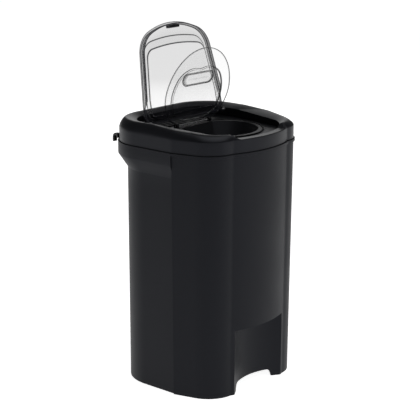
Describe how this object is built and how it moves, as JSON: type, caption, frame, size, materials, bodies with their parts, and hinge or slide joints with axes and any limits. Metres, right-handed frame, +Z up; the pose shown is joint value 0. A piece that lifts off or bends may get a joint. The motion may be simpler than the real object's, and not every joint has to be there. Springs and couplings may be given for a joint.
{
  "type": "dog waste bin",
  "caption": "Free-standing plastic dog waste bin with a lift-off rim, a chute, a small clear inner lid and a large clear outer lid, both shown open.",
  "frame": {"origin": "on the floor, at the centre of the footprint's bounding box", "axes": "+Z up, -Y is the front with the recess and the feet, +X to the right seen from the front; symmetric about the plane X = 0"},
  "size_m": [0.289, 0.2869, 0.6645],
  "materials": {
    "body_plastic": "black, fine moulded texture",
    "rim_plastic": "black, satin moulded",
    "inner_plastic": "black, satin moulded",
    "seal_rubber": "black soft seal",
    "screw_steel": "zinc plated",
    "rod_steel": "stainless",
    "clear_plastic": "clear moulded plastic, polished",
    "smoke_plastic": "faint smoke tint, polished",
    "catch_plastic": "black, polished",
    "hook_plastic": "black, glossy"
  },
  "bodies": {
    "bin": {"bin_body": "body_plastic", "bag_ring": "inner_plastic", "rim_seal": "seal_rubber"},
    "rim": {"rim_frame": "rim_plastic", "deck": "inner_plastic", "deck_screws": "screw_steel", "chute": "inner_plastic", "inner_seal": "seal_rubber", "inner_hinge_rod": "rod_steel", "hinge_pin_right": "rod_steel", "hinge_pin_left": "rod_steel", "rear_hook_right": "hook_plastic", "rear_hook_left": "hook_plastic"},
    "outer_lid": {"outer_lid": "smoke_plastic", "lid_catch": "catch_plastic"},
    "inner_lid": {"inner_lid": "clear_plastic"}
  },
  "joints": [
    {"name": "rim_lift", "type": "slide", "parent": "bin", "child": "rim", "axis": [0, 0, 1], "range_m": [0, 0.08]},
    {"name": "outer_lid_hinge", "type": "hinge", "parent": "rim", "child": "outer_lid", "pos_m": [0, 0.051, 0.4895], "axis": [1, 0, 0], "range_deg": [0, 102]},
    {"name": "inner_lid_hinge", "type": "hinge", "parent": "rim", "child": "inner_lid", "pos_m": [0, 0.038, 0.4806], "axis": [1, 0, 0], "range_deg": [0, 78]}
  ],
  "couplings": [
    {"joint": "inner_lid_hinge", "follows": "outer_lid_hinge", "ratio": 0.7647}
  ]
}
